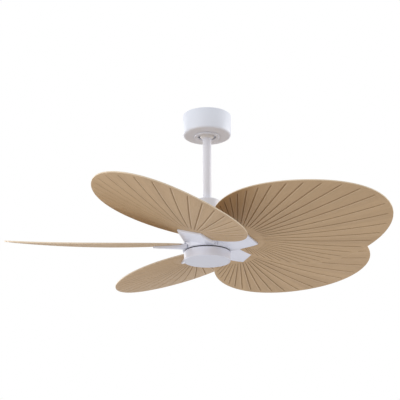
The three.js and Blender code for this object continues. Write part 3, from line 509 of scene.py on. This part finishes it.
def add_leaf_face(bm, upper):
    """Spins one face as a flat disc of rows and columns, then shapes it into the grooved cup."""
    known = set(bm.verts)
    spoke = [bm.verts.new((row, 0, 0)) for row in range(len(LEAF_ROWS))]
    edges = [bm.edges.new(pair) for pair in zip(spoke, spoke[1:])]
    bmesh.ops.spin(bm, geom=spoke + edges, cent=(0, 0, 0), axis=(0, 0, 1), angle=2 * math.pi,
                   steps=len(COLUMNS), use_merge=True, use_duplicate=False)
    bmesh.ops.remove_doubles(bm, verts=[vert for vert in bm.verts if vert not in known], dist=1e-3)
    groove = bm.verts.layers.float["groove"]
    rim = bm.verts.layers.float["rim"]
    for vert in [vert for vert in bm.verts if vert not in known]:
        row = round(vert.co.xy.length)
        turn = math.atan2(vert.co.y, vert.co.x) / (2 * math.pi)
        distance, angle, raised, depth = leaf_point(row, round(turn * len(COLUMNS)) % len(COLUMNS))
        u = FAN_REACH + distance * math.cos(angle)
        v = distance * math.sin(angle)
        if upper:
            height = BLADE_THICKNESS - (raised if LEAF_ROWS[row][0] == "rounded" else 0)
        else:
            height = raised
        vert.co = (u, v, dish(u, v) + height)
        vert[groove] = GROOVE_TRACE_ABOVE * depth if upper else depth
        vert[rim] = math.sin(LEAF_ROWS[row][1]) if LEAF_ROWS[row][0] == "rounded" else 0


leaf = bmesh.new()
leaf.verts.layers.float.new("groove")
leaf.verts.layers.float.new("rim")
leaf.verts.layers.float.new("leaf_number")
add_leaf_face(leaf, False)
add_leaf_face(leaf, True)
bmesh.ops.bridge_loops(leaf, edges=[edge for edge in leaf.edges if edge.is_boundary])
bmesh.ops.recalc_face_normals(leaf, faces=leaf.faces)
fan_map = leaf.loops.layers.uv.new("leaf_plan")
for face in leaf.faces:
    for loop in face.loops:
        loop[fan_map].uv = (loop.vert.co.x - FAN_REACH, loop.vert.co.y)

TAN_LIGHT = (0.555, 0.375, 0.202)
TAN_DARK = (0.450, 0.297, 0.156)
# Painted shade: the brown that the groove beds are darkened towards, standing in for shade in the
# recesses.
GROOVE_SHADE_BROWN = (0.16, 0.09, 0.042)
# Painted highlight: the cream laid on the rounded rim and the low ridges, as if they caught the light.
RIM_HIGHLIGHT_CREAM = (0.74, 0.60, 0.43)
FIBRE_FINENESS = 150.0
FIBRE_BREAKS = 24.0
LEAF_SPACING = 7.0
STRIP_SPACING = 61.0
STIPPLE_SCALE = 380
CLOUD_SCALE = 9.0
FIBRE_SHARE = 0.5
STRIP_SHARE = 0.22
CLOUD_SHARE = 0.25
STIPPLE_SHARE = 0.35
# How strongly the painted shade darkens the grooves.
GROOVE_SHADE_STRENGTH = 0.42
# How strongly the painted highlight lightens the low ridge beside each groove.
RIDGE_HIGHLIGHT_STRENGTH = 0.45
GROOVE_DULLNESS = 0.4
FIBRE_DEPTH = 0.00015

palm, palm_tree, palm_shader, palm_place = surface("palm_wood", TAN_LIGHT, 0.6)
plan = node(palm_tree, "UVMap", uv_map="leaf_plan").outputs[0]
plan_parts = node(palm_tree, "SeparateXYZ", {0: plan}).outputs
leaf_angle = maths(palm_tree, "ARCTAN2", plan_parts["Y"], plan_parts["X"])
leaf_distance = node(palm_tree, "VectorMath", {0: plan}, operation="LENGTH").outputs["Value"]
leaf_id = node(palm_tree, "Attribute", attribute_name="leaf_number").outputs["Fac"]
strip = maths(palm_tree, "FLOOR", maths(palm_tree, "DIVIDE", leaf_angle, PLEAT_PITCH))
strip = maths(palm_tree, "MULTIPLY_ADD", leaf_id, STRIP_SPACING, strip)
strip_tone = node(palm_tree, "TexWhiteNoise", {"W": strip}, noise_dimensions="1D").outputs["Value"]
fibre_place = node(palm_tree, "CombineXYZ", {
    0: maths(palm_tree, "MULTIPLY", leaf_angle, FIBRE_FINENESS),
    1: maths(palm_tree, "MULTIPLY", leaf_distance, FIBRE_BREAKS),
    2: maths(palm_tree, "MULTIPLY", leaf_id, LEAF_SPACING)}).outputs[0]
fibre = noise(palm_tree, fibre_place, 1.0, 4.0, 0.6)
stipple = noise(palm_tree, palm_place, STIPPLE_SCALE, 2.0, 0.6)
cloud = noise(palm_tree, palm_place, CLOUD_SCALE, 3.0)
tone = maths(palm_tree, "MULTIPLY", strip_tone, STRIP_SHARE)
tone = maths(palm_tree, "MULTIPLY_ADD", fibre, FIBRE_SHARE, tone)
tone = maths(palm_tree, "MULTIPLY_ADD", cloud, CLOUD_SHARE, tone)
tone = maths(palm_tree, "MULTIPLY_ADD", stipple, STIPPLE_SHARE, tone)
tan = between(palm_tree, ramp(palm_tree, tone, 0.42, 0.90), TAN_DARK, TAN_LIGHT)
in_groove = node(palm_tree, "Attribute", attribute_name="groove").outputs["Fac"]
# Painted shade: the groove beds are darkened towards brown, as shade falling in the recesses.
groove_shade = maths(palm_tree, "MULTIPLY", ramp(palm_tree, in_groove, 0.05, 0.75), GROOVE_SHADE_STRENGTH)
# Painted highlight: the low ridge beside each groove is lightened towards cream, as if it caught the
# light.
ridge_highlight = maths(palm_tree, "MULTIPLY", ramp(palm_tree, in_groove, -0.05, -0.25), RIDGE_HIGHLIGHT_STRENGTH)
on_rim = node(palm_tree, "Attribute", attribute_name="rim").outputs["Fac"]
# Painted highlight: the rounded rim is lightened towards cream, where its edge would catch the light.
rim_highlight = ramp(palm_tree, on_rim, 0.2, 0.9)
# Both painted highlights, on the ridges and on the rim, taken together.
painted_highlight = maths(palm_tree, "MAXIMUM", rim_highlight, ridge_highlight)
finish = between(palm_tree, painted_highlight, between(palm_tree, groove_shade, tan, GROOVE_SHADE_BROWN), RIM_HIGHLIGHT_CREAM)
palm_tree.links.new(finish, palm_shader.inputs["Base Color"])
gloss = ramp(palm_tree, fibre, 0.3, 0.7, 0.58, 0.46)
gloss = maths(palm_tree, "MULTIPLY_ADD", ramp(palm_tree, in_groove, 0.1, 0.8), GROOVE_DULLNESS, gloss)
palm_tree.links.new(gloss, palm_shader.inputs["Roughness"])
relief(palm_tree, palm_shader, maths(palm_tree, "ADD", fibre, stipple), FIBRE_DEPTH)


def spoke_matrix(number):
    """Turns what belongs to one blade from the +X direction to its place round the motor."""
    return Matrix.Rotation(FIRST_BLADE + 2 * math.pi * number / BLADES, 4, "Z")


leaf_matrix = (Matrix.Translation((0, 0, -BLADE_DROP)) @ Matrix.Rotation(-BLADE_RISE, 4, "Y")
               @ Matrix.Rotation(-BLADE_PITCH, 4, "X"))
for number in range(BLADES):
    blade = leaf.copy()
    blade_number = blade.verts.layers.float["leaf_number"]
    for vert in blade.verts:
        vert[blade_number] = number
    bmesh.ops.transform(blade, matrix=spoke_matrix(number) @ leaf_matrix, verts=blade.verts)
    finished(blade, f"palm_blade_{number + 1}", palm, "rotor",
             [f"blade_{number + 1}"], sharp=80)
leaf.free()

# ---------- Blade arms ----------
# Cast aluminium wedges, coated white: flat underneath, following the blade's cup above, with an
# upright flange at the root that is screwed to the turning ring.

ARM_REACH = 0.171
ARM_RISE = math.radians(3.23)
ARM_TIP = (-0.034, 0.047)
ARM_ROOT = (-0.0545, 0.0515)
ARM_TIP_SEAT = 0.0071
ARM_THICKNESS = 0.006
ARM_EDGE = 0.0005
ARM_CROP = 0.085
TIP_MARGIN = 0.001
FLANGE_THICKNESS = 0.0037
FLANGE_HALF_ANGLE = math.radians(25)
FLANGE_INSET = 0.0008
FLANGE_STEPS = 16
SEAT_GAP = 0.0003
LEAF_SPACE_LENGTH = 0.11
LEAF_SPACE_HEIGHT = 0.05
TOOL_MARGIN = 0.1
LOW_CUT_SIZE = 0.4
CORNER_ANGLE = math.radians(35)
FLAT_ANGLE = math.radians(0.5)
WELD = 1e-5


def thicken(bm, lift):
    """Draws an open sheet out along a vector into a closed solid."""
    grown = bmesh.ops.extrude_face_region(bm, geom=list(bm.faces))["geom"]
    bmesh.ops.translate(bm, vec=lift,
                        verts=[part for part in grown if isinstance(part, bmesh.types.BMVert)])
    bmesh.ops.recalc_face_normals(bm, faces=bm.faces)


def prism(outline, lift):
    """A flat outline drawn out along a vector into a closed solid."""
    bm = bmesh.new()
    bm.faces.new([bm.verts.new(point) for point in outline])
    thicken(bm, lift)
    return bm


def carved(bm, tool, operation):
    """The first solid joined with, cut by or cropped to the second; both are used up."""
    stock = []
    for source in (bm, tool):
        data = bpy.data.meshes.new("stock")
        source.to_mesh(data)
        source.free()
        stock.append(bpy.data.objects.new("stock", data))
        scene.collection.objects.link(stock[-1])
    change = stock[0].modifiers.new("carve", "BOOLEAN")
    change.operation = operation
    change.object = stock[1]
    change.solver = "EXACT"
    bpy.context.view_layer.update()
    result = bmesh.new()
    result.from_object(stock[0], bpy.context.evaluated_depsgraph_get())
    for used in stock:
        bpy.data.meshes.remove(used.data)
    return result


def rod_solid(radius, bottom, top):
    """A plain round bar on the fan's axis, to cut or crop with."""
    bm = bmesh.new()
    bmesh.ops.create_cone(bm, cap_ends=True, segments=ROUND_STEPS, radius1=radius, radius2=radius,
                          depth=top - bottom, matrix=Matrix.Translation((0, 0, (bottom + top) / 2)))
    return bm


arm_slope = math.tan(ARM_RISE - BLADE_RISE)
arm_inner = ring_high.x - RING_WALL
arm_outer = ARM_REACH + TIP_MARGIN


def underside(u):
    """Height of the arm's flat underside in the leaf's frame."""
    return -ARM_TIP_SEAT - ARM_THICKNESS - (ARM_REACH - u) * arm_slope


arm_plan = prism([(arm_inner, ARM_ROOT[0], -ARM_CROP), (ARM_REACH, ARM_TIP[0], -ARM_CROP),
                  (ARM_REACH, ARM_TIP[1], -ARM_CROP), (arm_inner, ARM_ROOT[1], -ARM_CROP)],
                 (0, 0, 2 * ARM_CROP))
root_top = dish(BLADE_ROOT, BLADE_SHIFT) + BLADE_THICKNESS / 2
tip_top = dish(arm_outer, BLADE_SHIFT) + BLADE_THICKNESS / 2
arm_side = prism([(arm_inner, -ARM_CROP, underside(arm_inner)),
                  (arm_outer, -ARM_CROP, underside(arm_outer)), (arm_outer, -ARM_CROP, tip_top),
                  (BLADE_ROOT, -ARM_CROP, root_top), (arm_inner, -ARM_CROP, root_top)],
                 (0, 2 * ARM_CROP, 0))
leaf_space = bmesh.new()
bmesh.ops.create_grid(leaf_space, x_segments=20, y_segments=20, size=0.5)
for vert in leaf_space.verts:
    u = BLADE_ROOT - SEAT_GAP + (vert.co.x + 0.5) * LEAF_SPACE_LENGTH
    v = vert.co.y * 2 * ARM_CROP
    vert.co = (u, v, dish(u, v) - SEAT_GAP)
thicken(leaf_space, (0, 0, LEAF_SPACE_HEIGHT))

arm = carved(carved(arm_plan, arm_side, "INTERSECT"), leaf_space, "DIFFERENCE")
bmesh.ops.transform(arm, matrix=leaf_matrix, verts=arm.verts)
housing_space = rod_solid(BLADE_ROOT - SEAT_GAP, ring_high.z - FLANGE_INSET,
                          ring_high.z + TOOL_MARGIN)
arm = carved(arm, housing_space, "DIFFERENCE")
flange_radius = ring_high.x + SEAT_GAP
flange_outer = flange_radius + FLANGE_THICKNESS
flange_floor = ring_low.z + FLANGE_INSET
angles = [FLANGE_HALF_ANGLE * (2 * step / FLANGE_STEPS - 1) for step in range(FLANGE_STEPS + 1)]
outline = [(flange_outer * math.cos(a), flange_outer * math.sin(a), flange_floor) for a in angles]
outline += [(arm_inner * math.cos(a), arm_inner * math.sin(a), flange_floor) for a in reversed(angles)]
flange = prism(outline, (0, 0, ring_high.z - ring_low.z - 2 * FLANGE_INSET))
arm = carved(arm, flange, "UNION")
ring_space = rod_solid(flange_radius, ring_low.z - TOOL_MARGIN, ring_high.z + TOOL_MARGIN)
arm = carved(arm, ring_space, "DIFFERENCE")
below = bmesh.new()
bmesh.ops.create_cube(below, size=LOW_CUT_SIZE, matrix=Matrix.Translation(
    (TOOL_MARGIN, 0, ring_low.z - LOW_CUT_SIZE / 2)))
arm = carved(arm, below, "DIFFERENCE")
bmesh.ops.remove_doubles(arm, verts=arm.verts, dist=WELD)
bmesh.ops.dissolve_limit(arm, angle_limit=FLAT_ANGLE, verts=arm.verts, edges=arm.edges)
corners = [edge for edge in arm.edges if edge.is_manifold and edge.calc_face_angle() > CORNER_ANGLE]
bmesh.ops.bevel(arm, geom=corners, offset=ARM_EDGE, offset_type="OFFSET", profile=0.5,
                segments=2, affect="EDGES", clamp_overlap=True, material=-1)
for number in range(BLADES):
    one_arm = arm.copy()
    bmesh.ops.transform(one_arm, matrix=spoke_matrix(number), verts=one_arm.verts)
    finished(one_arm, f"cast_arm_{number + 1}", white_paint, "rotor",
             [f"blade_arm_{number + 1}"], sharp=25)
arm.free()

# ---------- Blade screws ----------
# Three pan-head screws on washers hold each blade down on its arm, from above. Zinc-plated steel
# with a pressed cross recess.

SCREW_PLACES = ((0.112, -0.032), (0.112, 0.037), (0.153, 0.006))
SCREW_HEAD_RADIUS = 0.0042
SCREW_HEAD_HEIGHT = 0.0027
HEAD_SKIRT = 0.0008
WASHER_RADIUS = 0.0058
WASHER_HEIGHT = 0.0010
WASHER_SINK = 0.0003
RECESS_WIDTH = 0.0011
RECESS_LENGTH = 0.0046
RECESS_DEPTH = 0.0016
SCREW_STEPS = 32

screw_zinc = speckled("screw_zinc", (0.66, 0.67, 0.70), (0.54, 0.56, 0.59), 0.3, 1.0, 300, 0.00001)
crown_rise = SCREW_HEAD_HEIGHT - HEAD_SKIRT
crown = [(SCREW_HEAD_RADIUS * math.cos(turn),
          WASHER_HEIGHT + HEAD_SKIRT + crown_rise * math.sin(turn), 0)
         for turn in (math.radians(degrees) for degrees in (0, 20, 40, 60, 75))]
screw = turned([(0, -WASHER_SINK, 0), (WASHER_RADIUS, -WASHER_SINK, 0),
                (WASHER_RADIUS, WASHER_HEIGHT, 0.0002), (SCREW_HEAD_RADIUS, WASHER_HEIGHT, 0)]
               + crown + [(0, WASHER_HEIGHT + SCREW_HEAD_HEIGHT, 0)], closed=False, steps=SCREW_STEPS)
for turn in (0, 90):
    recess = bmesh.new()
    bmesh.ops.create_cube(recess, size=1)
    bmesh.ops.scale(recess, vec=(RECESS_LENGTH, RECESS_WIDTH, 2 * RECESS_DEPTH), verts=recess.verts)
    bmesh.ops.rotate(recess, matrix=Matrix.Rotation(math.radians(turn), 3, "Z"), verts=recess.verts)
    bmesh.ops.translate(recess, vec=(0, 0, WASHER_HEIGHT + SCREW_HEAD_HEIGHT), verts=recess.verts)
    screw = carved(screw, recess, "DIFFERENCE")
for number in range(BLADES):
    screws = bmesh.new()
    for u, v in SCREW_PLACES:
        lean = Vector((-2 * CUP_LENGTHWISE * (u - BLADE_CENTRE) / BLADE_HALF_LENGTH ** 2,
                       -2 * CUP_CROSSWISE * (v - BLADE_SHIFT) / BLADE_HALF_WIDTH ** 2, 1))
        seat = Matrix.Translation((u, v, dish(u, v) + BLADE_THICKNESS))
        single = bpy.data.meshes.new("screw")
        screw.to_mesh(single)
        single.transform(spoke_matrix(number) @ leaf_matrix @ seat
                         @ lean.to_track_quat("Z", "X").to_matrix().to_4x4())
        screws.from_mesh(single)
        bpy.data.meshes.remove(single)
    finished(screws, f"blade_screws_{number + 1}", screw_zinc, "rotor", sharp=40)
screw.free()

# ---------- Hanger ball ----------
# The nylon ball sits in the dished seat of a galvanised strap. It fits closely round the rod, and a
# steel pin through both keeps the rod in.

ball_white = speckled("ball_white", (0.78, 0.78, 0.79), (0.74, 0.74, 0.75), 0.45, 0.0, 500, 0.00003)
ball_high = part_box("hanger_ball")[1]
BALL_RADIUS = 0.031
BALL_DROP = 0.0545
ARC_STEPS = 24
BALL_STEPS = 96
ball_bore = rod_high.x + SEAT_GAP
lowest = -math.acos(ball_bore / BALL_RADIUS)
highest = math.asin((ball_high.z + BALL_DROP) / BALL_RADIUS)
arc = [lowest + (highest - lowest) * step / ARC_STEPS for step in range(ARC_STEPS + 1)]
finished(turned([(BALL_RADIUS * math.cos(a), BALL_RADIUS * math.sin(a) - BALL_DROP, 0) for a in arc]
                + [(ball_bore, ball_high.z, 0.0005)], steps=BALL_STEPS),
         "nylon_ball", ball_white, "hanging_motor", ["hanger_ball"])

# ---------- Inner pieces ----------
# The bracket, the receiver and what the covers hide keep their frame solids and get their real
# finishes.

box_white = speckled("moulded_white", (0.72, 0.72, 0.73), (0.68, 0.68, 0.69), 0.5, 0.0, 900, 0.00004)
zinc = speckled("zinc_plate", (0.62, 0.64, 0.67), (0.48, 0.50, 0.53), 0.34, 0.9, 160, 0.00003)
bearing_steel = speckled("ground_steel", (0.68, 0.70, 0.72), (0.60, 0.62, 0.64),
                         0.22, 1.0, 700, 0.00001)
castings = speckled("cast_aluminium", (0.60, 0.61, 0.63), (0.50, 0.51, 0.53), 0.45, 0.9, 220, 0.00008)
laminations = speckled("laminations", (0.20, 0.21, 0.22), (0.14, 0.145, 0.15), 0.5, 0.7, 400, 0.00004)
copper = speckled("enamelled_copper", (0.62, 0.30, 0.13), (0.48, 0.21, 0.08), 0.35, 0.85, 500, 0.00006)
ferrite = speckled("ferrite", (0.05, 0.05, 0.055), (0.035, 0.035, 0.04), 0.55, 0.0, 300, 0.00004)
board_green = speckled("board_green", (0.05, 0.18, 0.09), (0.03, 0.13, 0.06), 0.4, 0.0, 350, 0.00003)
board_white = speckled("board_white", (0.74, 0.75, 0.72), (0.68, 0.69, 0.66), 0.4, 0.0, 350, 0.00003)

for finish, names in (
        (zinc, ["hanger_bracket", "ball_cross_pin", "canopy_screw_1", "canopy_screw_2", "clevis_pin",
                "hairpin_clip", "motor_shaft", "shaft_nut"]),
        (box_white, ["receiver_module"]),
        (castings, ["motor_yoke", "rotor_upper_plate", "rotor_lower_plate", "led_tray"]),
        (bearing_steel, ["upper_bearing", "lower_bearing"]),
        (laminations, ["stator_core"]),
        (copper, ["stator_winding"]),
        (ferrite, ["magnet_ring"]),
        (board_green, ["motor_controller"]),
        (board_white, ["led_board"])):
    for name in names:
        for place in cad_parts[name].material_slots:
            place.material = finish
